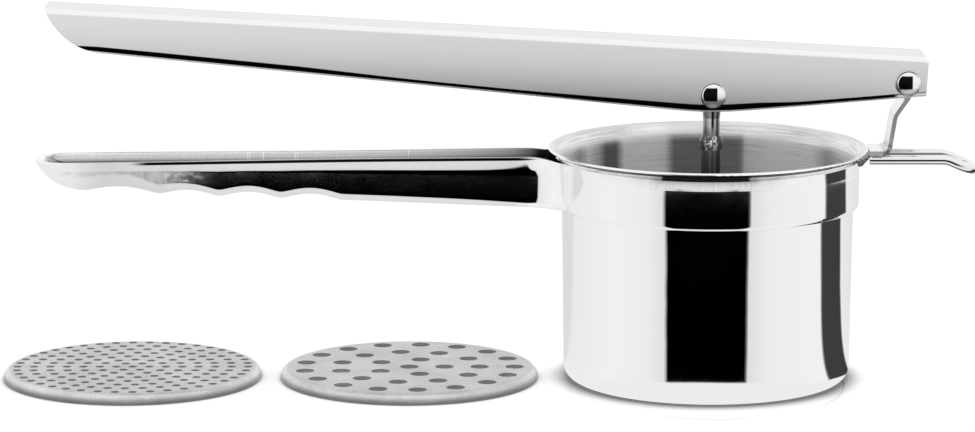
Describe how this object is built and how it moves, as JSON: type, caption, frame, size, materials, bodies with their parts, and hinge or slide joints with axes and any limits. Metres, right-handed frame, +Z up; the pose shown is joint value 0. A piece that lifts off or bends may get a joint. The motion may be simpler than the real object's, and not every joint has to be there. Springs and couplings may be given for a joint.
{
  "type": "vegetable press",
  "caption": "Hand press for cooked vegetables: a hopper in a collar with a channel handle, a channel lever that drives a plunger, and loose perforated discs.",
  "frame": {"origin": "centre of the round outlet, on the hopper's axis, at the level that the press stands on", "axes": "+X along the handles from their tips towards the hinge, +Y to the far side with the handles pointing left, +Z up along the hopper's axis"},
  "size_m": [0.2873, 0.094, 0.1111],
  "materials": {
    "polished_steel": "mirror-polished stainless steel",
    "satin_steel": "satin stainless steel",
    "bright_steel": "bright stainless steel, bent, turned or riveted",
    "weld_steel": "stainless weld bead"
  },
  "bodies": {
    "press": {"hopper": "polished_steel", "collar_ring": "polished_steel", "lower_handle": "polished_steel", "handle_weld": "weld_steel", "hinge_bracket": "bright_steel", "hinge_weld": "weld_steel", "bowl_hook": "bright_steel", "hook_welds": "weld_steel"},
    "lever_arm": {"lever": "satin_steel", "hinge_rivet": "bright_steel", "plunger_rivet": "bright_steel"},
    "plunger": {"plunger_eye": "bright_steel", "plunger_stem": "bright_steel", "stem_weld": "weld_steel", "plunger_plate": "satin_steel", "plate_weld": "weld_steel"},
    "fine_disc": {"fine_disc": "satin_steel"},
    "coarse_disc": {"coarse_disc": "satin_steel"}
  },
  "joints": [
    {"name": "lever_hinge", "type": "hinge", "parent": "press", "child": "lever_arm", "pos_m": [0.0578, 0, 0.0891], "axis": [0, 1, 0], "range_deg": [0, 35]},
    {"name": "plunger_hinge", "type": "hinge", "parent": "lever_arm", "child": "plunger", "pos_m": [0.001, 0, 0.08561], "axis": [0, 1, 0], "range_deg": [-29.75, 0]},
    {"name": "fine_disc_slide", "type": "slide", "parent": "press", "child": "fine_disc", "axis": [0, -1, 0], "range_m": [0, 0.12]},
    {"name": "coarse_disc_slide", "type": "slide", "parent": "press", "child": "coarse_disc", "axis": [0, -1, 0], "range_m": [0, 0.12]}
  ],
  "couplings": [
    {"joint": "plunger_hinge", "follows": "lever_hinge", "ratio": -0.85}
  ]
}
